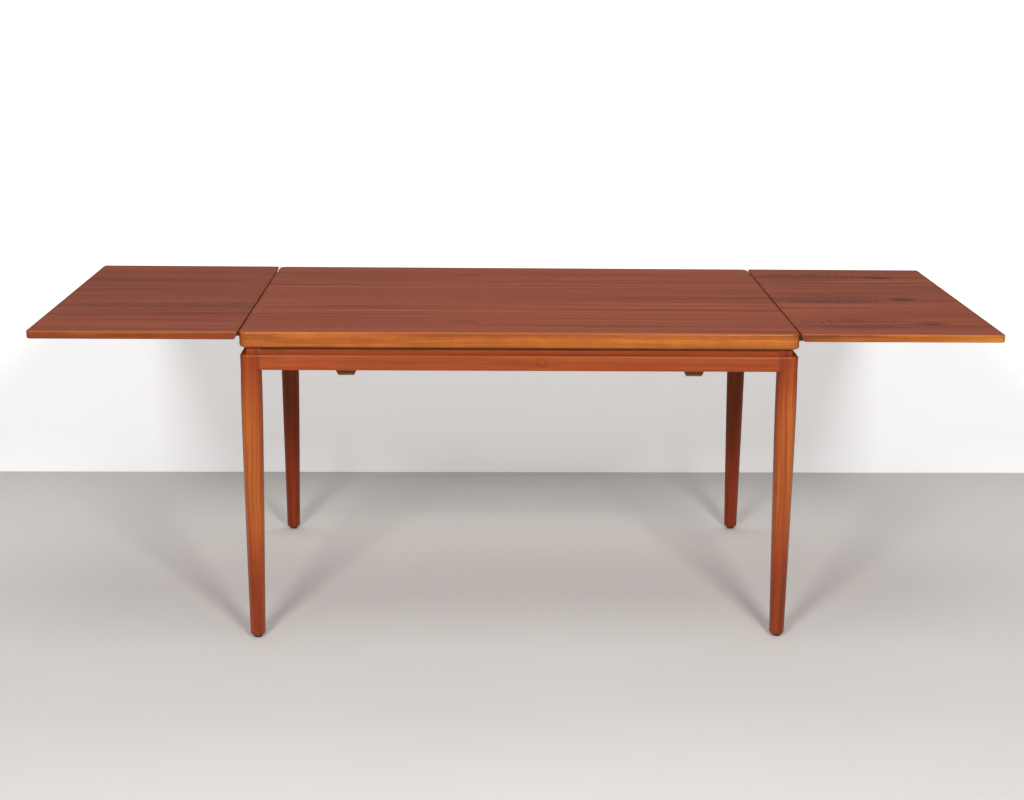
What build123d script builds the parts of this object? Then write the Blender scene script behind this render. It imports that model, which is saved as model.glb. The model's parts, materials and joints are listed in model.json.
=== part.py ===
from build123d import *
import os

# Draw-leaf dining table with both leaves drawn out level with the top.
# Millimetres, +Z up, X along the table, Y across it, origin on the floor under the centre.
# Both leaf assemblies are one design: the left one is the right one turned half a turn about Z.

# ---- Driving sizes: top and leaves ----
top_height = 730.0
top_length = 1256.0
top_width = 850.0
top_thickness = 37.0
top_corner_radius = 18.0
top_upper_round = 4.5
top_lower_round = 7.0
panel_thickness = 22.0
lipping_width = 10.0
batten_width = 35.0
leaf_length = 463.0
leaf_thickness = 18.5
leaf_gap = 3.0
leaf_near_corner_radius = 4.5
leaf_near_bevel_width = 7.0
leaf_near_bevel_height = 15.0
leaf_far_corner_radius = 8.0
leaf_upper_round = 2.5
leaf_lower_round = 4.0

# ---- Driving sizes: legs and aprons ----
frame_half_length = 627.5
frame_half_width = 423.0
leg_size = 45.0
leg_outer_corner_radius = 16.0
leg_corner_radius = 13.0
leg_sections = ((430.0, 45.0, 17.0), (232.0, 41.0, 19.5), (62.0, 36.0, 17.5))
foot_setback = 17.0
foot_radius = 17.5
foot_top = 22.0
foot_rounding = 7.0
glide_radius = 10.0
glide_height = 5.0
glide_round = 1.5
glide_stem_radius = 4.0
glide_stem_length = 16.0
apron_thickness = 24.0
apron_bottom = 642.5
shoulder_height = 677.0
shoulder_inset = 12.5
shoulder_round = 4.0
band_corner_radius = 5.0
tenon_length = 22.0
tenon_thickness = 9.0
tenon_setback = 15.5
tenon_bottom = 647.0
tenon_top = 675.0

# ---- Driving sizes: runners, which slide on a slope ----
stow_travel = 466.0
stow_drop = 18.3
pull_play = 10.0
runner_width = 26.0
runner_depth = 26.0
runner_near_y = -185.0
runner_far_y = 155.0
runner_drop_at_leaf = 21.0
runner_reach_inward = 530.0
runner_reach_outward = 415.0
runner_step = 8.0
runner_nose_height = 10.0
runner_nose_length = 90.0
slide_clearance = 0.3
side_clearance = 0.6

# ---- Driving sizes: rails, centre board and corner blocks ----
cross_rail_x = 393.0
cross_rail_width = 45.0
cross_rail_bottom = 626.0
cross_rail_top = 676.0
cross_rail_chamfer_width = 5.0
cross_rail_chamfer_height = 10.0
stub_tenon_length = 8.0
stub_tenon_width = 25.0
stub_tenon_bottom = 645.0
stub_tenon_top = 665.0
bridge_rail_x = 135.0
bridge_rail_width = 30.0
centre_board_length = 300.0
centre_board_width = 750.0
centre_board_thickness = 20.0
centre_board_corner_radius = 6.0
centre_board_headroom = 0.5
cleat_length = 320.0
cleat_width = 20.0
cleat_height = 24.0
corner_block_reach = 60.0
corner_block_bottom = 645.0
corner_block_top = 688.0

# ---- Driving sizes: pegs and screws ----
guide_peg_radius = 10.0
guide_peg_clearance = 0.5
guide_peg_y = 250.0
guide_peg_socket = 12.0
guide_peg_drop = 58.0
guide_peg_chamfer = 3.0
stop_peg_radius = 4.0
stop_peg_socket = 14.0
stop_peg_drop = 9.0
stop_peg_chamfer = 1.0
stop_peg_slack = 0.5
screw_radius = 2.25
screw_head_radius = 4.5
screw_head_height = 2.8
screw_point_length = 6.0
counterbore_radius = 5.5
corner_screw_length = 48.0
corner_screw_rise = 9.5
cleat_screw_length = 34.0
cleat_screw_pitch = 130.0
rail_screw_length = 34.0
board_screw_length = 32.0
board_screw_pitch = 320.0
leaf_screw_grip = 12.0
leaf_screw_length = 23.0
leaf_screw_offsets = (45.0, 175.0, 305.0)

# ---- Worked-out sizes ----
half_length = top_length / 2
half_width = top_width / 2
top_underside = top_height - top_thickness
panel_underside = top_height - panel_thickness
panel_length = top_length - 2 * lipping_width
panel_width = top_width - 2 * lipping_width
leaf_start = half_length + leaf_gap
leaf_end = leaf_start + leaf_length
leaf_underside = top_height - leaf_thickness
frame_top = top_underside
leg_inner_x = frame_half_length - leg_size
leg_inner_y = frame_half_width - leg_size
apron_inner_x = frame_half_length - apron_thickness
apron_inner_y = frame_half_width - apron_thickness
band_thickness = apron_thickness - shoulder_inset
foot_x = frame_half_length - foot_setback
foot_y = frame_half_width - foot_setback
tenon_x = frame_half_length - tenon_setback
tenon_y = frame_half_width - tenon_setback
slope = stow_drop / stow_travel
centre_board_top = panel_underside - centre_board_headroom
centre_board_bottom = centre_board_top - centre_board_thickness
stop_peg_x = cross_rail_x - cross_rail_width / 2 - pull_play - stop_peg_radius - stop_peg_slack
lengthwise = {"left": -1, "right": 1}
crosswise = {"front": -1, "back": 1}

os.makedirs("parts", exist_ok=True)


def write(piece, name):
    """Label one finished piece and write it to its own STEP file."""
    piece.part.label = name
    export_step(piece.part, f"parts/{name}.step")


def level(height, side=1):
    """Horizontal plane at a height, turned half a turn about Z where side is -1."""
    return Plane(origin=(0, 0, height), x_dir=(side, 0, 0), z_dir=(0, 0, 1))


def upright(y, side=1):
    """Plane along the table at a distance y, turned half a turn about Z where side is -1."""
    return Plane(origin=(0, side * y, 0), x_dir=(side, 0, 0), z_dir=(0, -side, 0))


def runner_top(x):
    """Height of a runner's sloping top edge at a distance x from the table's centre."""
    return leaf_underside - runner_drop_at_leaf + (x - leaf_start) * slope


def runner_bottom(x):
    """Height of a runner's sloping lower edge at a distance x from the table's centre."""
    return runner_top(x) - runner_depth


bridge_rail_bottom = runner_top(bridge_rail_x + bridge_rail_width / 2) + slide_clearance


# ---- Screws ----
def screw_group(planes, length):
    """Identical countersunk screws, each with its head flush with a plane, pointing along it."""
    with BuildPart() as one:
        with BuildSketch(Plane.XZ):
            Polygon(
                (0, 0),
                (screw_head_radius, 0),
                (screw_radius, screw_head_height),
                (screw_radius, length - screw_point_length),
                (0, length),
                align=None,
            )
        revolve(axis=Axis.Z)
    placed = [plane.location * one.part for plane in planes]
    with BuildPart() as group:
        add(placed)
    return group


def down(x, y, height):
    """Plane facing down, for a screw driven from above."""
    return Plane(origin=(x, y, height), x_dir=(1, 0, 0), z_dir=(0, 0, -1))


corner_face_x = (apron_inner_x + leg_inner_x - corner_block_reach) / 2
corner_face_y = (apron_inner_y + leg_inner_y - corner_block_reach) / 2
corner_block_middle = (corner_block_bottom + corner_block_top) / 2
corner_screws = screw_group(
    [
        Plane(
            origin=(sx * corner_face_x, sy * corner_face_y, corner_block_middle + rise),
            x_dir=(0, 0, 1),
            z_dir=(sx, sy, 0),
        )
        for sx in (-1, 1)
        for sy in (-1, 1)
        for rise in (-corner_screw_rise, corner_screw_rise)
    ],
    corner_screw_length,
)
write(corner_screws, "corner_block_screws")

cleat_screws = screw_group(
    [
        Plane(
            origin=(x, sy * (apron_inner_y - cleat_width), bridge_rail_bottom - cleat_height / 2),
            x_dir=(1, 0, 0),
            z_dir=(0, sy, 0),
        )
        for x in (-cleat_screw_pitch / 2, cleat_screw_pitch / 2)
        for sy in (-1, 1)
    ],
    cleat_screw_length,
)
write(cleat_screws, "cleat_screws")

rail_screws = screw_group(
    [
        down(sx * bridge_rail_x, sy * (apron_inner_y - cleat_width / 2), centre_board_bottom)
        for sx in (-1, 1)
        for sy in (-1, 1)
    ],
    rail_screw_length,
)
write(rail_screws, "bridge_rail_screws")

board_screws = screw_group(
    [
        down(sx * bridge_rail_x, y, centre_board_top)
        for sx in (-1, 1)
        for y in (-board_screw_pitch, 0, board_screw_pitch)
    ],
    board_screw_length,
)
write(board_screws, "centre_board_screws")


# ---- Boards with solid lippings ----
def rounded_board(x_from, x_to, upper, thickness, corner_radii, edge_rounds, side):
    """Whole board: corner_radii are those at x_from and x_to, edge_rounds the upper and lower."""
    with BuildPart() as board:
        with BuildSketch(level(upper - thickness, side)):
            with Locations(((x_from + x_to) / 2, 0)):
                Rectangle(x_to - x_from, top_width)
        extrude(amount=thickness)
        corners = board.edges().filter_by(Axis.Z).sort_by(lambda e: side * e.center().X)
        fillet(corners[:2], corner_radii[0])
        corners = board.edges().filter_by(Axis.Z).sort_by(lambda e: side * e.center().X)
        fillet(corners[-2:], corner_radii[1])
        fillet(board.faces().sort_by(Axis.Z)[-1].edges(), edge_rounds[0])
        fillet(board.faces().sort_by(Axis.Z)[0].edges(), edge_rounds[1])
    return board


def lipping(edge, x_from, x_to, whole_board, side=1):
    """One mitred lipping cut from a rounded board: front, back, near (x_from) or far (x_to)."""
    if edge in ("front", "back"):
        sign = -1 if edge == "front" else 1
        outline = [
            (x_from, sign * half_width),
            (x_to, sign * half_width),
            (x_to - lipping_width, sign * (half_width - lipping_width)),
            (x_from + lipping_width, sign * (half_width - lipping_width)),
        ]
    else:
        outer = x_from if edge == "near" else x_to
        inner = outer + lipping_width if edge == "near" else outer - lipping_width
        outline = [
            (outer, -half_width),
            (outer, half_width),
            (inner, half_width - lipping_width),
            (inner, lipping_width - half_width),
        ]
    with BuildPart() as piece:
        with BuildSketch(level(top_underside, side)):
            Polygon(*outline, align=None)
        extrude(amount=top_thickness)
        add(whole_board.part, mode=Mode.INTERSECT)
    return piece


# ---- Top: veneered panel, lippings, battens and two guide pegs ----
whole_top = rounded_board(
    -half_length,
    half_length,
    top_height,
    top_thickness,
    (top_corner_radius, top_corner_radius),
    (top_upper_round, top_lower_round),
    1,
)
for place, edge in {"front": "front", "back": "back", "left": "near", "right": "far"}.items():
    write(lipping(edge, -half_length, half_length, whole_top), f"top_lipping_{place}")

with BuildPart() as top_panel:
    with BuildSketch(level(panel_underside)):
        Rectangle(panel_length, panel_width)
    extrude(amount=panel_thickness)
    with BuildSketch(level(panel_underside)):
        with Locations((0, -guide_peg_y), (0, guide_peg_y)):
            Circle(guide_peg_radius)
    extrude(amount=guide_peg_socket, mode=Mode.SUBTRACT)
write(top_panel, "top_panel")

for place, sy in crosswise.items():
    with BuildPart() as long_batten:
        with BuildSketch(level(top_underside)):
            with Locations((0, sy * (panel_width - batten_width) / 2)):
                Rectangle(panel_length, batten_width)
        extrude(amount=panel_underside - top_underside)
    write(long_batten, f"top_batten_{place}")

for place, sx in lengthwise.items():
    with BuildPart() as end_batten:
        with BuildSketch(level(top_underside)):
            with Locations((sx * (panel_length - batten_width) / 2, 0)):
                Rectangle(batten_width, panel_width - 2 * batten_width)
        extrude(amount=panel_underside - top_underside)
    write(end_batten, f"top_batten_{place}")

for place, sy in crosswise.items():
    with BuildPart() as guide_peg:
        with BuildSketch(level(panel_underside - guide_peg_drop)):
            with Locations((0, sy * guide_peg_y)):
                Circle(guide_peg_radius)
        extrude(amount=guide_peg_drop + guide_peg_socket)
        chamfer(guide_peg.edges().sort_by(Axis.Z)[0], guide_peg_chamfer)
    write(guide_peg, f"guide_peg_{place}")


# ---- Legs and glides ----
def leg(sx, sy):
    """Square head with a stepped-in band on top, then ever rounder sections down to a round foot.

    Each of leg_sections is a rounded square: its height, its size and its corner radius.
    """
    head_x = frame_half_length - leg_size / 2
    head_y = frame_half_width - leg_size / 2
    head_centre = (sx * head_x, sy * head_y)
    band_size = leg_size - shoulder_inset
    band_centre = (sx * (leg_inner_x + band_size / 2), sy * (leg_inner_y + band_size / 2))
    rim = frame_half_length + frame_half_width - leg_size / 2 - shoulder_inset / 2

    def outward(v):
        return sx * v.X + sy * v.Y

    def axis_at(height):
        share = (apron_bottom - height) / (apron_bottom - foot_top)
        return (sx * (head_x + share * (foot_x - head_x)), sy * (head_y + share * (foot_y - head_y)))

    with BuildPart() as piece:
        with BuildSketch(level(apron_bottom)) as head:
            with Locations(head_centre):
                Rectangle(leg_size, leg_size)
            fillet(head.vertices().sort_by(outward)[-1], leg_outer_corner_radius)
        extrude(amount=shoulder_height - apron_bottom)
        upper_edges = piece.edges().filter_by_position(Axis.Z, shoulder_height, shoulder_height)
        fillet(upper_edges.filter_by(lambda e: outward(e.center()) > rim), shoulder_round)
        with BuildSketch(level(shoulder_height)) as band:
            with Locations(band_centre):
                Rectangle(band_size, band_size)
            fillet(band.vertices().sort_by(outward)[-1], band_corner_radius)
        extrude(amount=frame_top - shoulder_height)
        with BuildSketch(level(apron_bottom)) as upper_section:
            with Locations(head_centre):
                Rectangle(leg_size, leg_size)
            fillet(upper_section.vertices().sort_by(outward)[-1], leg_outer_corner_radius)
            fillet(
                upper_section.vertices().filter_by(
                    lambda v: outward(v) < rim - leg_outer_corner_radius
                ),
                leg_corner_radius,
            )
        for height, size, corner_radius in leg_sections:
            with BuildSketch(level(height)):
                with Locations(axis_at(height)):
                    RectangleRounded(size, size, corner_radius)
        with BuildSketch(level(foot_top)):
            with Locations((sx * foot_x, sy * foot_y)):
                Circle(foot_radius)
        loft()
        with BuildSketch(level(glide_height)):
            with Locations((sx * foot_x, sy * foot_y)):
                Circle(foot_radius)
        extrude(amount=foot_top - glide_height)
        fillet(piece.edges().group_by(Axis.Z)[0], foot_rounding)
        with BuildSketch(level(glide_height)):
            with Locations((sx * foot_x, sy * foot_y)):
                Circle(glide_stem_radius)
        extrude(amount=glide_stem_length, mode=Mode.SUBTRACT)
        with BuildSketch(level(tenon_bottom)):
            with Locations((sx * (leg_inner_x + tenon_length / 2), sy * tenon_y)):
                Rectangle(tenon_length, tenon_thickness)
            with Locations((sx * tenon_x, sy * (leg_inner_y + tenon_length / 2))):
                Rectangle(tenon_thickness, tenon_length)
        extrude(amount=tenon_top - tenon_bottom, mode=Mode.SUBTRACT)
        add(corner_screws.part, mode=Mode.SUBTRACT)
    return piece


for end, sx in lengthwise.items():
    for place, sy in crosswise.items():
        write(leg(sx, sy), f"leg_{place}_{end}")
        with BuildPart() as glide:
            with BuildSketch(level(0)):
                with Locations((sx * foot_x, sy * foot_y)):
                    Circle(glide_radius)
            extrude(amount=glide_height)
            fillet(glide.edges().group_by(Axis.Z)[0], glide_round)
            with BuildSketch(level(glide_height)):
                with Locations((sx * foot_x, sy * foot_y)):
                    Circle(glide_stem_radius)
            extrude(amount=glide_stem_length)
        write(glide, f"glide_{place}_{end}")


# ---- Aprons ----
for place, sy in crosswise.items():
    with BuildPart() as long_apron:
        with BuildSketch(level(apron_bottom)):
            with Locations((0, sy * (frame_half_width - apron_thickness / 2))):
                Rectangle(2 * leg_inner_x, apron_thickness)
        extrude(amount=shoulder_height - apron_bottom)
        upper_edges = long_apron.edges().filter_by_position(Axis.Z, shoulder_height, shoulder_height)
        fillet(upper_edges.sort_by(lambda e: sy * e.center().Y)[-1], shoulder_round)
        with BuildSketch(level(shoulder_height)):
            with Locations((0, sy * (apron_inner_y + band_thickness / 2))):
                Rectangle(2 * leg_inner_x, band_thickness)
        extrude(amount=frame_top - shoulder_height)
        with BuildSketch(level(tenon_bottom)):
            with Locations((0, sy * tenon_y)):
                Rectangle(2 * (leg_inner_x + tenon_length), tenon_thickness)
        extrude(amount=tenon_top - tenon_bottom)
        with BuildSketch(level(stub_tenon_bottom)):
            with Locations(
                (-cross_rail_x, sy * (apron_inner_y + stub_tenon_length / 2)),
                (cross_rail_x, sy * (apron_inner_y + stub_tenon_length / 2)),
            ):
                Rectangle(stub_tenon_width, stub_tenon_length)
        extrude(amount=stub_tenon_top - stub_tenon_bottom, mode=Mode.SUBTRACT)
        add(cleat_screws.part, mode=Mode.SUBTRACT)
    write(long_apron, f"apron_{place}")

for end, side in lengthwise.items():
    with BuildPart() as end_apron:
        with BuildSketch(level(apron_bottom, side)):
            with Locations((frame_half_length - apron_thickness / 2, 0)):
                Rectangle(apron_thickness, 2 * leg_inner_y)
        extrude(amount=shoulder_height - apron_bottom)
        upper_edges = end_apron.edges().filter_by_position(Axis.Z, shoulder_height, shoulder_height)
        fillet(upper_edges.sort_by(lambda e: side * e.center().X)[-1], shoulder_round)
        with BuildSketch(level(shoulder_height, side)):
            with Locations((apron_inner_x + band_thickness / 2, 0)):
                Rectangle(band_thickness, 2 * leg_inner_y)
        extrude(amount=frame_top - shoulder_height)
        with BuildSketch(level(tenon_bottom, side)):
            with Locations((tenon_x, 0)):
                Rectangle(tenon_thickness, 2 * (leg_inner_y + tenon_length))
        extrude(amount=tenon_top - tenon_bottom)
        for y in (runner_near_y, runner_far_y):
            with BuildSketch(upright(y, side)):
                Polygon(
                    (apron_inner_x, runner_bottom(apron_inner_x) - slide_clearance),
                    (frame_half_length, runner_bottom(frame_half_length) - slide_clearance),
                    (frame_half_length, frame_top),
                    (apron_inner_x, frame_top),
                    align=None,
                )
            extrude(amount=runner_width / 2 + side_clearance, both=True, mode=Mode.SUBTRACT)
    write(end_apron, f"apron_{end}")


# ---- Cross rails, bridge rails, cleats and centre board ----
rail_low_x = cross_rail_x - cross_rail_width / 2
rail_high_x = cross_rail_x + cross_rail_width / 2
for end, side in lengthwise.items():
    with BuildPart() as cross_rail:
        with BuildSketch(upright(0, side)):
            Polygon(
                (rail_low_x, cross_rail_top),
                (rail_low_x, cross_rail_bottom + cross_rail_chamfer_height),
                (rail_low_x + cross_rail_chamfer_width, cross_rail_bottom),
                (rail_high_x - cross_rail_chamfer_width, cross_rail_bottom),
                (rail_high_x, cross_rail_bottom + cross_rail_chamfer_height),
                (rail_high_x, cross_rail_top),
                align=None,
            )
        extrude(amount=apron_inner_y, both=True)
        with BuildSketch(level(stub_tenon_bottom, side)):
            with Locations((cross_rail_x, 0)):
                Rectangle(stub_tenon_width, 2 * (apron_inner_y + stub_tenon_length))
        extrude(amount=stub_tenon_top - stub_tenon_bottom)
        for y in (runner_near_y, runner_far_y):
            with BuildSketch(upright(y, side)):
                Polygon(
                    (rail_low_x, runner_bottom(rail_low_x) - slide_clearance),
                    (rail_high_x, runner_bottom(rail_high_x) - slide_clearance),
                    (rail_high_x, cross_rail_top),
                    (rail_low_x, cross_rail_top),
                    align=None,
                )
            extrude(amount=runner_width / 2 + side_clearance, both=True, mode=Mode.SUBTRACT)
    write(cross_rail, f"cross_rail_{end}")

    with BuildPart() as bridge_rail:
        with BuildSketch(level(bridge_rail_bottom, side)):
            with Locations((bridge_rail_x, 0)):
                Rectangle(bridge_rail_width, 2 * apron_inner_y)
        extrude(amount=centre_board_bottom - bridge_rail_bottom)
        add(rail_screws.part, mode=Mode.SUBTRACT)
        add(board_screws.part, mode=Mode.SUBTRACT)
    write(bridge_rail, f"bridge_rail_{end}")

for place, sy in crosswise.items():
    with BuildPart() as cleat:
        with BuildSketch(level(bridge_rail_bottom - cleat_height)):
            with Locations((0, sy * (apron_inner_y - cleat_width / 2))):
                Rectangle(cleat_length, cleat_width)
        extrude(amount=cleat_height)
        add(cleat_screws.part, mode=Mode.SUBTRACT)
        add(rail_screws.part, mode=Mode.SUBTRACT)
    write(cleat, f"cleat_{place}")

with BuildPart() as centre_board:
    with BuildSketch(level(centre_board_bottom)):
        RectangleRounded(centre_board_length, centre_board_width, centre_board_corner_radius)
        with Locations((0, -guide_peg_y), (0, guide_peg_y)):
            Circle(guide_peg_radius + guide_peg_clearance, mode=Mode.SUBTRACT)
    extrude(amount=centre_board_thickness)
    add(board_screws.part, mode=Mode.SUBTRACT)
write(centre_board, "centre_board")


# ---- Corner blocks, fitted round the inner corner of each leg ----
for end, sx in lengthwise.items():
    for place, sy in crosswise.items():
        with BuildPart() as corner_block:
            with BuildSketch(level(corner_block_bottom)):
                Polygon(
                    (sx * apron_inner_x, sy * leg_inner_y),
                    (sx * leg_inner_x, sy * leg_inner_y),
                    (sx * leg_inner_x, sy * apron_inner_y),
                    (sx * (leg_inner_x - corner_block_reach), sy * apron_inner_y),
                    (sx * apron_inner_x, sy * (leg_inner_y - corner_block_reach)),
                    align=None,
                )
            extrude(amount=corner_block_top - corner_block_bottom)
            add(corner_screws.part, mode=Mode.SUBTRACT)
        write(corner_block, f"corner_block_{place}_{end}")


# ---- Leaves: panel, lippings, two runners with stop pegs, screws ----
runner_inner_end = leaf_start - runner_reach_inward
runner_outer_end = leaf_start + runner_reach_outward
runner_nose_start = runner_outer_end - runner_nose_length
leaf_screw_floor = leaf_underside - leaf_screw_grip

for end, side in lengthwise.items():
    whole_leaf = rounded_board(
        leaf_start,
        leaf_end,
        top_height,
        leaf_thickness,
        (leaf_near_corner_radius, leaf_far_corner_radius),
        (leaf_upper_round, leaf_lower_round),
        side,
    )
    with BuildPart() as bevelled_leaf:
        add(whole_leaf.part)
        with BuildSketch(upright(0, side)):
            Polygon(
                (leaf_start, leaf_underside),
                (leaf_start + leaf_near_bevel_width, leaf_underside),
                (leaf_start, leaf_underside + leaf_near_bevel_height),
                align=None,
            )
        extrude(amount=half_width, both=True, mode=Mode.SUBTRACT)
    edge_names = {"inner": "near", "outer": "far"}
    if side > 0:
        edge_names.update({"front": "front", "back": "back"})
    else:
        edge_names.update({"front": "back", "back": "front"})
    for place, edge in edge_names.items():
        leaf_lipping = lipping(edge, leaf_start, leaf_end, bevelled_leaf, side)
        write(leaf_lipping, f"leaf_{end}_lipping_{place}")

    leaf_screws = screw_group(
        [
            Plane(
                origin=(side * (leaf_start + offset), side * y, leaf_screw_floor),
                x_dir=(1, 0, 0),
                z_dir=(0, 0, 1),
            )
            for offset in leaf_screw_offsets
            for y in (runner_near_y, runner_far_y)
        ],
        leaf_screw_length,
    )
    write(leaf_screws, f"leaf_{end}_screws")

    with BuildPart() as leaf_panel:
        with BuildSketch(level(leaf_underside, side)):
            with Locations(((leaf_start + leaf_end) / 2, 0)):
                Rectangle(leaf_length - 2 * lipping_width, panel_width)
        extrude(amount=leaf_thickness)
        add(leaf_screws.part, mode=Mode.SUBTRACT)
    write(leaf_panel, f"leaf_{end}_panel")

    for y in (runner_near_y, runner_far_y):
        place = "front" if side * y < 0 else "back"
        with BuildPart() as runner:
            with BuildSketch(upright(y, side)):
                Polygon(
                    (runner_inner_end, runner_bottom(runner_inner_end)),
                    (runner_nose_start, runner_bottom(runner_nose_start)),
                    (runner_outer_end, leaf_underside - runner_nose_height),
                    (runner_outer_end, leaf_underside),
                    (leaf_start + runner_step, leaf_underside),
                    (leaf_start + runner_step, runner_top(leaf_start + runner_step)),
                    (runner_inner_end, runner_top(runner_inner_end)),
                    align=None,
                )
            extrude(amount=runner_width / 2, both=True)
            add(leaf_screws.part, mode=Mode.SUBTRACT)
            with BuildSketch(level(leaf_screw_floor, side)):
                with Locations(*[(leaf_start + offset, y) for offset in leaf_screw_offsets]):
                    Circle(counterbore_radius)
            extrude(amount=-runner_depth - runner_drop_at_leaf, mode=Mode.SUBTRACT)
            with BuildSketch(level(runner_bottom(stop_peg_x) + stop_peg_socket, side)):
                with Locations((stop_peg_x, y)):
                    Circle(stop_peg_radius)
            extrude(amount=-stop_peg_socket - stop_peg_drop, mode=Mode.SUBTRACT)
        write(runner, f"runner_{end}_{place}")

        with BuildPart() as stop_peg:
            with BuildSketch(level(runner_bottom(stop_peg_x) - stop_peg_drop, side)):
                with Locations((stop_peg_x, y)):
                    Circle(stop_peg_radius)
            extrude(amount=stop_peg_drop + stop_peg_socket)
            chamfer(stop_peg.edges().group_by(Axis.Z)[0], stop_peg_chamfer)
        write(stop_peg, f"stop_peg_{end}_{place}")
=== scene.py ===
import bpy
import json
import math
from mathutils import Matrix, Vector


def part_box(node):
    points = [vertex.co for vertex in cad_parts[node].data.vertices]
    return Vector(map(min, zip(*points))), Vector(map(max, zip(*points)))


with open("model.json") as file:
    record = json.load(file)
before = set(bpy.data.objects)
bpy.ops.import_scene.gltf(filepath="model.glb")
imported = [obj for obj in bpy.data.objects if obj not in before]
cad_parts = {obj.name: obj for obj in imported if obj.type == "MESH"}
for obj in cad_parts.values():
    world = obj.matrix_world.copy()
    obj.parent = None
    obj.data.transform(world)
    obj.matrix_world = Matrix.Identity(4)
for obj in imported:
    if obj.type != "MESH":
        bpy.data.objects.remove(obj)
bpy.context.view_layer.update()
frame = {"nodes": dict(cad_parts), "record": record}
nodes = frame["nodes"]


# ---- Small tools for shader nodes ----
class Shader:
    """A material's node tree with short calls for the nodes used below."""

    def __init__(self, name):
        self.material = bpy.data.materials.new(name)
        self.material.use_nodes = True
        self.tree = self.material.node_tree
        self.surface = self.tree.nodes["Principled BSDF"]

    def add(self, kind, **settings):
        node = self.tree.nodes.new(kind)
        for key, value in settings.items():
            setattr(node, key, value)
        return node

    def feed(self, node, socket, value):
        """Link a socket when value is one, or set the socket's own number."""
        target = node.inputs[socket]
        if isinstance(value, bpy.types.NodeSocket):
            self.tree.links.new(value, target)
        else:
            target.default_value = value

    def math(self, operation, first, second=0.0, third=0.0, clamp=False):
        node = self.add("ShaderNodeMath", operation=operation, use_clamp=clamp)
        for index, value in enumerate((first, second, third)):
            self.feed(node, index, value)
        return node.outputs[0]

    def noise(self, vector, scale, detail=2.0, roughness=0.5):
        node = self.add("ShaderNodeTexNoise")
        self.feed(node, "Vector", vector)
        self.feed(node, "Scale", scale)
        self.feed(node, "Detail", detail)
        self.feed(node, "Roughness", roughness)
        return node.outputs["Fac"]

    def combine(self, x, y, z):
        node = self.add("ShaderNodeCombineXYZ")
        for index, value in enumerate((x, y, z)):
            self.feed(node, index, value)
        return node.outputs[0]

    def remap(self, value, low, high, to_low=0.0, to_high=1.0, smooth=True):
        node = self.add("ShaderNodeMapRange")
        node.interpolation_type = "SMOOTHSTEP" if smooth else "LINEAR"
        for index, number in enumerate((value, low, high, to_low, to_high)):
            self.feed(node, index, number)
        return node.outputs[0]

    def mix(self, factor, first, second, blend="MIX"):
        node = self.add("ShaderNodeMix", data_type="RGBA", blend_type=blend)
        self.feed(node, "Factor", factor)
        self.feed(node, 6, first)
        self.feed(node, 7, second)
        return node.outputs[2]

    def ramp(self, value, stops):
        """Colour ramp from a few given (position, colour) stops."""
        node = self.add("ShaderNodeValToRGB")
        elements = node.color_ramp.elements
        while len(elements) < len(stops):
            elements.new(0.5)
        for element, (position, colour) in zip(elements, stops):
            element.position = position
            element.color = (*colour, 1.0)
        self.feed(node, "Fac", value)
        return node.outputs["Color"]

    def grain_axes(self, grain, shift=(0.0, 0.0, 0.0)):
        """Object position as (along, across, depth) for a grain direction of X, Y or Z."""
        place = self.add("ShaderNodeTexCoord").outputs["Object"]
        split = self.add("ShaderNodeSeparateXYZ")
        self.feed(split, 0, place)
        order = {"X": (0, 1, 2), "Y": (1, 0, 2), "Z": (2, 0, 1)}[grain]
        return [
            self.math("ADD", split.outputs[axis], offset) for axis, offset in zip(order, shift)
        ]


# ---- Wood ----
DARK_PORE = (0.035, 0.012, 0.006, 1.0)
VENEER_STRIP = 0.3
KNOT_RADIUS = 0.009
# Painted shade in the slot under the top: it starts at the first height above the shoulder and is full at
# the second.
SLOT_SHADE_START = 0.007
SLOT_SHADE_END = 0.015
LONG_COVER = 0.0016
END_COVER = 0.005
FIBRE_ALONG = 13.0
FIBRE_ACROSS = 1300.0


def streaks(s, axes, along_scale, across_scale, detail=2.0):
    """Noise drawn out along the grain, between 0 and 1; the scales are cycles in a metre."""
    along, across, depth = axes
    place = s.combine(
        s.math("MULTIPLY", along, along_scale),
        s.math("MULTIPLY", across, across_scale),
        s.math("MULTIPLY", depth, across_scale),
    )
    return s.noise(place, 1.0, detail)


def grain_tone(s, axes, contrast, mottle):
    """Tone round 0.5 from bands, growth rings and fibres, with the grain wandering a little."""
    along, across, depth = axes
    wander = s.math("MULTIPLY", s.math("SUBTRACT", streaks(s, axes, 1.3, 4.0, 3.0), 0.5), 0.05)
    bent = (along, s.math("ADD", across, wander), depth)
    tone = 0.5
    layers = (
        (streaks(s, bent, 0.6, 9.0), 0.38),
        (streaks(s, bent, 0.8, 48.0, 3.0), 1.05),
        (streaks(s, bent, 1.8, 190.0), 0.75),
        (streaks(s, axes, FIBRE_ALONG, FIBRE_ACROSS), 0.35),
        (streaks(s, axes, 30.0, 30.0), mottle),
    )
    for layer, weight in layers:
        if weight:
            part = s.math("MULTIPLY", s.math("SUBTRACT", layer, 0.5), weight * contrast)
            tone = s.math("ADD", part, tone)
    return tone


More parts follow.
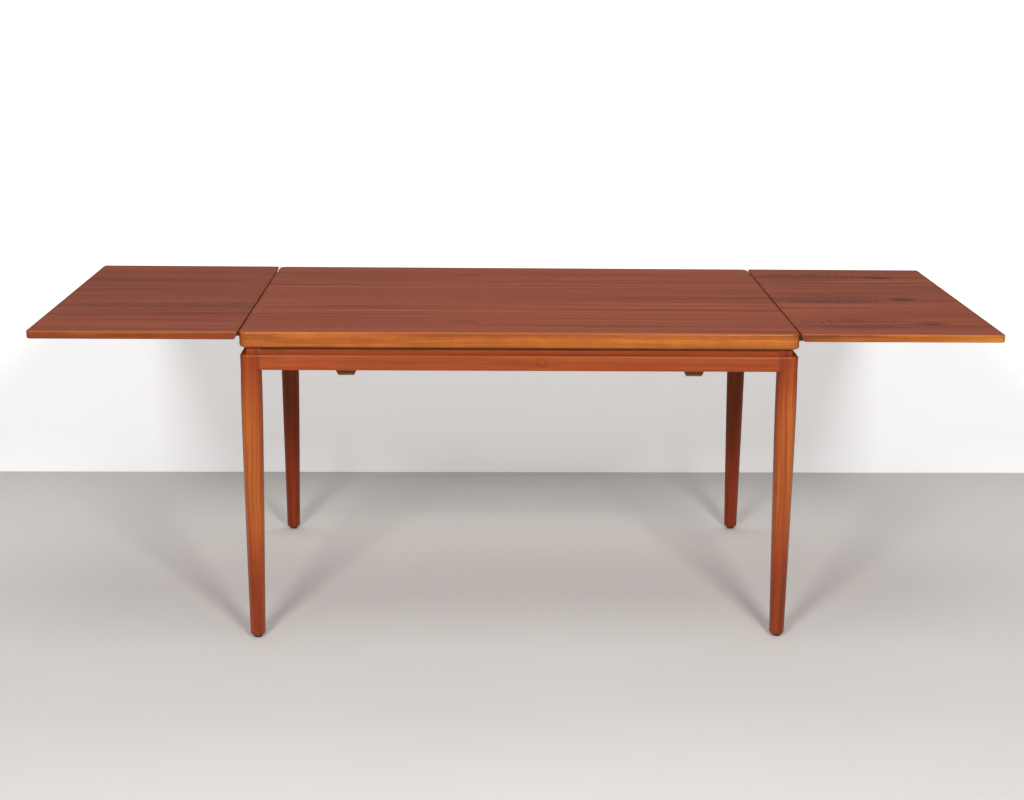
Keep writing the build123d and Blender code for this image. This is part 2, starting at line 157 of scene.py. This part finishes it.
def cathedral(s, axes, middle, half_long, eye, strength):
    """Flat-sawn figure, the same in each of the slip-matched strips of veneer.

    A nest of pointed arcs round middle, half_long to each side, and a dark eye past its end.
    """
    along, across = axes[:2]
    turns = s.math("MODULO", s.math("ADD", across, 3.5 * VENEER_STRIP), VENEER_STRIP)
    rough = s.math("SUBTRACT", streaks(s, axes, 7.0, 75.0, 3.0), 0.5)
    local = s.math("ADD", s.math("SUBTRACT", turns, VENEER_STRIP / 2), s.math("MULTIPLY", rough, 0.018))

    def lens(centre, half_length, half_breadth):
        u = s.math("DIVIDE", s.math("SUBTRACT", along, centre), half_length)
        v = s.math("DIVIDE", local, half_breadth)
        return s.math("SQRT", s.math("ADD", s.math("MULTIPLY", u, u), s.math("MULTIPLY", v, v)))

    nest = lens(middle, half_long, 0.072)
    arcs = s.math("SINE", s.math("MULTIPLY", s.math("ADD", nest, s.math("MULTIPLY", rough, 0.35)), 52.0))
    inside = s.remap(nest, 1.1, 0.55)
    shade = s.math("MULTIPLY", inside, s.math("MULTIPLY_ADD", arcs, -0.17, -0.14))
    spot = s.math("MULTIPLY", s.remap(lens(eye, 0.05, 0.03), 1.1, 0.2), -0.34)
    return s.math("MULTIPLY", s.math("ADD", shade, spot), strength)


def knot(s, axes, centre, radius):
    """Small tight knot: uneven rings with a soft dark rim, on a face where along and depth vary."""
    along, _, depth = axes
    uneven = s.math("MULTIPLY", s.math("SUBTRACT", streaks(s, axes, 60.0, 140.0, 3.0), 0.5), 0.008)
    u = s.math("MULTIPLY", s.math("SUBTRACT", along, centre[0]), 0.8)
    v = s.math("SUBTRACT", depth, centre[1])
    round_reach = s.math("SQRT", s.math("ADD", s.math("MULTIPLY", u, u), s.math("MULTIPLY", v, v)))
    reach = s.math("ADD", round_reach, uneven)
    rings = s.math("MULTIPLY", s.math("SINE", s.math("MULTIPLY", reach, 2000.0)), 0.12)
    inside = s.remap(reach, radius * 1.3, radius * 0.7)
    from_rim = s.math("ABSOLUTE", s.math("SUBTRACT", reach, radius))
    rim = s.math("MULTIPLY", s.remap(from_rim, 0.006, 0.0), -0.16)
    return s.math("ADD", s.math("MULTIPLY", inside, rings), rim)


def lacquered(s, tone, stops, axes, gloss, tint=(1.0, 1.0, 1.0, 1.0), level=0.5, coat=0.0):
    """Colour, pores, soft sheen and fine relief for a lacquered wood surface."""
    pores = s.remap(streaks(s, axes, 75.0, 2600.0, 1.0), 0.66, 0.74)
    colour = s.mix(s.math("MULTIPLY", pores, 0.4), s.ramp(tone, stops), DARK_PORE)
    s.feed(s.surface, "Base Color", colour)
    fibres = streaks(s, axes, FIBRE_ALONG, FIBRE_ACROSS)
    rough = s.math("MULTIPLY_ADD", fibres, 0.08, gloss - 0.04)
    s.feed(s.surface, "Roughness", s.math("MULTIPLY_ADD", pores, 0.2, rough))
    s.feed(s.surface, "Specular IOR Level", level)
    s.feed(s.surface, "Specular Tint", tint)
    s.feed(s.surface, "Coat Weight", coat)
    s.feed(s.surface, "Coat Roughness", 0.22)
    bump = s.add("ShaderNodeBump")
    s.feed(bump, "Strength", 0.3)
    s.feed(bump, "Distance", 0.00008)
    s.feed(bump, "Height", s.math("SUBTRACT", s.math("MULTIPLY", fibres, 0.35), pores))
    s.feed(s.surface, "Normal", bump.outputs[0])
    return s.material


RED = [
    (0.0, (0.116, 0.031, 0.018)),
    (0.35, (0.262, 0.056, 0.025)),
    (0.6, (0.350, 0.076, 0.030)),
    (1.0, (0.480, 0.138, 0.049)),
]
GOLD = [
    (0.0, (0.150, 0.032, 0.010)),
    (0.35, (0.300, 0.070, 0.014)),
    (0.6, (0.400, 0.113, 0.018)),
    (1.0, (0.560, 0.205, 0.036)),
]
RUSSET = [
    (0.0, (0.090, 0.016, 0.008)),
    (0.35, (0.200, 0.036, 0.012)),
    (0.6, (0.275, 0.056, 0.016)),
    (1.0, (0.390, 0.105, 0.026)),
]
LEG = [
    (0.0, (0.120, 0.014, 0.006)),
    (0.35, (0.255, 0.034, 0.009)),
    (0.6, (0.325, 0.068, 0.014)),
    (1.0, (0.470, 0.150, 0.026)),
]
# Painted shade: a darker ramp for the back legs, for the shade they stand in under the top.
SHADED_LEG = [
    (0.0, (0.070, 0.012, 0.006)),
    (0.35, (0.150, 0.014, 0.006)),
    (0.6, (0.200, 0.020, 0.008)),
    (1.0, (0.280, 0.036, 0.012)),
]
RAIL = [
    (0.0, (0.100, 0.017, 0.008)),
    (0.35, (0.225, 0.036, 0.011)),
    (0.6, (0.285, 0.048, 0.014)),
    (1.0, (0.380, 0.084, 0.023)),
]
BEECH = [
    (0.0, (0.110, 0.040, 0.018)),
    (0.4, (0.190, 0.075, 0.033)),
    (0.7, (0.240, 0.100, 0.046)),
    (1.0, (0.300, 0.140, 0.066)),
]
FIBRE_GOLD = (1.0, 0.62, 0.24, 1.0)
top_surface = frame["record"]["mounts"][0]["pos_m"][2]


def veneer_tone(s, side):
    """Tone of the veneer on the main top (0), the left leaf (-1) or the right leaf (1)."""
    shift = (2.1 * side, 0.37 * side, 0.0)
    axes = s.grain_axes("X", shift)
    plain = s.grain_axes("X")
    if side < 0:
        tone = s.math("SUBTRACT", grain_tone(s, axes, 1.0, 0.0), 0.07)
    elif side > 0:
        figure = cathedral(s, plain, 0.765, 0.17, 0.955, 1.3)
        tone = s.math("ADD", grain_tone(s, axes, 1.0, 0.0), figure)
    else:
        figure = cathedral(s, plain, -0.42, 0.26, -0.13, 0.45)
        tone = s.math("ADD", grain_tone(s, axes, 1.0, 0.0), figure)
    return tone, axes


def veneer(name, side):
    s = Shader(name)
    tone, axes = veneer_tone(s, side)
    return lacquered(s, tone, RED, axes, 0.32)


def edging(name, grain, shift, side, stops, cover, painted_light_drift=(0.0, 0.0)):
    """Solid lipping: its own colour on the edge, with the veneer colour carried over the upper face.

    cover is how far down from the surface the veneer colour is fully gone.

    The last argument is a painted light gradient: how much the tone rises for each metre along the grain,
    and where it is nil.
    """
    s = Shader(name)
    axes = s.grain_axes(grain, shift)
    tone = grain_tone(s, axes, 1.0, 0.3)
    # Painted light: the tone rises along the edge toward where the light falls stronger.
    painted_light_rise = s.math("MULTIPLY", s.math("SUBTRACT", s.grain_axes(grain)[0], painted_light_drift[1]), painted_light_drift[0])
    edge_colour = s.ramp(s.math("ADD", tone, painted_light_rise), stops)
    over_tone, _ = veneer_tone(s, side)
    over_colour = s.ramp(over_tone, RED)
    height = s.grain_axes("Z")[0]
    covered = s.remap(height, top_surface - cover, top_surface - cover * 0.2)
    material = lacquered(s, tone, stops, axes, 0.36, FIBRE_GOLD, 0.5, 0.15)
    s.feed(s.surface, "Base Color", s.mix(covered, edge_colour, over_colour))
    return material


def solid(name, grain, stops, shift, gloss=0.38, coat=0.25, knot_at=None, painted_sheen=None, recess=None):
    """Solid wood; coat None is unlacquered, and above the height recess a painted shade darkens it upward,
    for the shadow in the slot under the top.

    The paler stretch along the grain, redder past both ends, is a painted highlight for the sheen of the
    light; its argument gives the stretch's middle and half length.
    """
    s = Shader(name)
    axes = s.grain_axes(grain, shift)
    plain = s.grain_axes(grain)
    tone = grain_tone(s, axes, 0.9, 0.12)
    # Painted highlight: a paler stretch along the legs for the sheen of the light, not a colour of the wood.
    if painted_sheen:
        away = s.math("ABSOLUTE", s.math("SUBTRACT", plain[0], painted_sheen[0]))
        tone = s.math("ADD", tone, s.remap(away, painted_sheen[1] * 0.4, painted_sheen[1] * 1.2, 0.14, -0.2))
    if knot_at:
        tone = s.math("ADD", tone, knot(s, plain, knot_at, KNOT_RADIUS))
    # Painted shade: the slot band above the shoulder darkens upward for the shadow under the top.
    if recess:
        slot_painted_shade = s.remap(s.grain_axes("Z")[0], recess + SLOT_SHADE_START, recess + SLOT_SHADE_END, 0.0, 0.7)
        tone = s.math("SUBTRACT", tone, slot_painted_shade)
    if coat is None:
        return lacquered(s, tone, stops, axes, 0.62, level=0.3)
    return lacquered(s, tone, stops, axes, gloss, FIBRE_GOLD, 0.5, coat)


top_veneer = veneer("teak_top_veneer", 0)
left_veneer = veneer("teak_left_leaf_veneer", -1)
right_veneer = veneer("teak_right_leaf_veneer", 1)
edges = {}
for place, side, painted_light_drift in (("top", 0, (0.08, 0.0)), ("left", -1, (0.3, -0.55)), ("right", 1, (1.5, 0.86))):
    # The left leaf's long edges get the darker ramp as painted shade, for the weaker light on them.
    long_stops = RUSSET if place == "left" else GOLD
    edges[place, "X"] = edging(
        f"teak_{place}_long_edge", "X", (0.7, 0.2, 0.3), side, long_stops, LONG_COVER, painted_light_drift
    )
    edges[place, "Y"] = edging(f"teak_{place}_end_edge", "Y", (0.9, 0.5, 0.1), side, RUSSET, END_COVER)
slot_height = 0.016
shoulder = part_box("apron_front")[1][2] - slot_height
# The front legs carry a painted highlight stretch at mid-height.
leg_wood = solid("teak_front_leg", "Z", LEG, (0.3, 0.1, 0.6), coat=0.15, painted_sheen=(0.40, 0.24))
# The back legs get the painted shade ramp, not a different timber.
back_leg_painted_shade = solid("teak_back_leg", "Z", SHADED_LEG, (0.6, 0.4, 0.2), coat=0.05)
apron_z = (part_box("apron_front")[0][2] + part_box("leg_front_left")[1][2]) / 2
rail_x = solid(
    "teak_long_rail", "X", RAIL, (1.3, 0.6, 0.2),
    coat=0.08, knot_at=(0.048, apron_z - 0.006), recess=shoulder,
)
rail_y = solid("teak_end_rail", "Y", RAIL, (0.2, 0.8, 0.4), coat=0.08, recess=shoulder)
beech_x = solid("beech_lengthwise", "X", BEECH, (0.5, 0.2, 0.2), coat=None)
beech_y = solid("beech_crosswise", "Y", BEECH, (0.1, 0.4, 0.6), coat=None)
beech_z = solid("beech_upright", "Z", BEECH, (0.4, 0.3, 0.1), coat=None)


def black_plastic():
    """Moulded glide plastic: near black with a fine cast texture."""
    s = Shader("black_plastic")
    place = s.add("ShaderNodeTexCoord").outputs["Object"]
    grit = s.noise(place, 900.0, 2.0)
    shades = [(0.3, (0.010, 0.010, 0.011)), (0.7, (0.022, 0.021, 0.021))]
    s.feed(s.surface, "Base Color", s.ramp(grit, shades))
    s.feed(s.surface, "Roughness", s.remap(grit, 0.2, 0.8, 0.38, 0.55))
    return s.material


def zinc_steel():
    """Zinc-plated screw steel with faint clouding."""
    s = Shader("zinc_steel")
    place = s.add("ShaderNodeTexCoord").outputs["Object"]
    cloud = s.noise(place, 220.0, 3.0)
    shades = [(0.3, (0.42, 0.42, 0.43)), (0.7, (0.60, 0.59, 0.57))]
    s.feed(s.surface, "Base Color", s.ramp(cloud, shades))
    s.feed(s.surface, "Metallic", 1.0)
    s.feed(s.surface, "Roughness", s.remap(cloud, 0.2, 0.8, 0.28, 0.5))
    return s.material


plastic = black_plastic()
steel = zinc_steel()


def finish_for(name):
    """Material for a CAD node, by its name."""
    if "screws" in name:
        return steel
    if name.startswith("glide_"):
        return plastic
    if name == "top_panel":
        return top_veneer
    if name == "leaf_left_panel":
        return left_veneer
    if name == "leaf_right_panel":
        return right_veneer
    if "lipping" in name:
        board = "top" if name.startswith("top_") else name.split("_")[1]
        return edges[board, "X" if name.endswith(("front", "back")) else "Y"]
    if name.startswith("leg_"):
        return leg_wood if name.startswith("leg_front") else back_leg_painted_shade
    if name in ("apron_front", "apron_back"):
        return rail_x
    if name in ("apron_left", "apron_right"):
        return rail_y
    if name.startswith(("guide_peg", "stop_peg", "corner_block")):
        return beech_z
    if name.startswith(("cross_rail", "bridge_rail", "top_batten_left", "top_batten_right")):
        return beech_y
    return beech_x


for name, node in nodes.items():
    node.data.materials.clear()
    node.data.materials.append(finish_for(name))


# ---- Floor, wall, light and camera ----
def matt(name, colour):
    """Matt surface with faint clouding, see-through from behind so that it never hides the table."""
    s = Shader(name)
    place = s.add("ShaderNodeTexCoord").outputs["Object"]
    cloud = s.noise(place, 1.3, 3.0)
    lighter = tuple(min(1.0, value * 1.04) for value in colour)
    s.feed(s.surface, "Base Color", s.ramp(cloud, [(0.3, colour), (0.7, lighter)]))
    s.feed(s.surface, "Roughness", 0.7)
    s.feed(s.surface, "Specular IOR Level", 0.2)
    one_sided = s.add("ShaderNodeMixShader")
    s.feed(one_sided, 0, s.add("ShaderNodeNewGeometry").outputs["Backfacing"])
    s.feed(one_sided, 1, s.surface.outputs[0])
    s.feed(one_sided, 2, s.add("ShaderNodeBsdfTransparent").outputs[0])
    s.feed(s.tree.nodes["Material Output"], "Surface", one_sided.outputs[0])
    return s


def plane(name, corners, material):
    mesh = bpy.data.meshes.new(name)
    mesh.from_pydata(corners, [], [tuple(range(len(corners)))])
    mesh.materials.append(material)
    piece = bpy.data.objects.new(name, mesh)
    bpy.context.scene.collection.objects.link(piece)
    return piece


floor_reach = 7.0
wall_distance = 0.957
wall_height = 3.2
floor = matt("pale_floor", (0.62, 0.60, 0.575))
plane(
    "floor",
    [
        (-floor_reach, -floor_reach, 0),
        (floor_reach, -floor_reach, 0),
        (floor_reach, floor_reach, 0),
        (-floor_reach, floor_reach, 0),
    ],
    floor.material,
)

wall = matt("white_wall", (0.86, 0.86, 0.86))
wall.feed(wall.surface, "Emission Color", (1.0, 1.0, 1.0, 1.0))
wall.feed(wall.surface, "Emission Strength", 0.3)
backdrop = plane(
    "wall",
    [
        (-floor_reach, wall_distance, 0),
        (floor_reach, wall_distance, 0),
        (floor_reach, wall_distance, wall_height),
        (-floor_reach, wall_distance, wall_height),
    ],
    wall.material,
)
# Left out of reflections, which would wash the grazing view of the top out to white.
backdrop.visible_glossy = False


def softbox(name, place, target, size, power, colour=(1.0, 1.0, 1.0)):
    lamp = bpy.data.lights.new(name, "AREA")
    lamp.shape = "RECTANGLE"
    lamp.size, lamp.size_y = size
    lamp.energy = power
    lamp.color = colour
    holder = bpy.data.objects.new(name, lamp)
    direction = Vector(target) - Vector(place)
    holder.matrix_world = Matrix.Translation(place) @ direction.to_track_quat("-Z", "Y").to_matrix().to_4x4()
    bpy.context.scene.collection.objects.link(holder)


softbox("key_right", (1.3, -4.2, 2.8), (0.1, 0.0, 0.5), (0.8, 0.8), 125)
softbox("key_left", (-1.5, -4.2, 2.8), (-0.1, 0.0, 0.5), (0.8, 0.8), 115)
softbox("overhead", (0.0, -0.9, 3.4), (0.0, -0.2, 0.0), (3.0, 1.6), 30)

world = bpy.data.worlds.new("studio")
world.use_nodes = True
world.node_tree.nodes["Background"].inputs["Color"].default_value = (1.0, 1.0, 1.0, 1.0)
world.node_tree.nodes["Background"].inputs["Strength"].default_value = 0.10
bpy.context.scene.world = world
bpy.context.scene.view_settings.view_transform = "Standard"


def aim_camera(place, yaw, dip, roll, focal_length, shift):
    """Camera at place, looking along +Y turned by yaw, dipped and rolled, all in degrees."""
    lens = bpy.data.cameras.new("camera")
    lens.sensor_width = 36.0
    lens.lens = focal_length
    lens.shift_x, lens.shift_y = shift
    camera = bpy.data.objects.new("camera", lens)
    yaw, dip, roll = (math.radians(angle) for angle in (yaw, dip, roll))
    forward = Vector((
        math.sin(yaw) * math.cos(dip),
        math.cos(yaw) * math.cos(dip),
        -math.sin(dip),
    ))
    level_right = Vector((math.cos(yaw), -math.sin(yaw), 0.0))
    level_up = level_right.cross(forward)
    right = level_right * math.cos(roll) + level_up * math.sin(roll)
    up = right.cross(forward)
    turn = Matrix((right, up, -forward)).transposed().to_4x4()
    camera.matrix_world = Matrix.Translation(place) @ turn
    bpy.context.scene.collection.objects.link(camera)
    bpy.context.scene.camera = camera


aim_camera(
    place=Vector((-0.0869, -4.275, 1.5394)),
    yaw=2.410,
    dip=16.514,
    roll=0.762,
    focal_length=61.822,
    shift=(-0.0401, 0.0744),
)
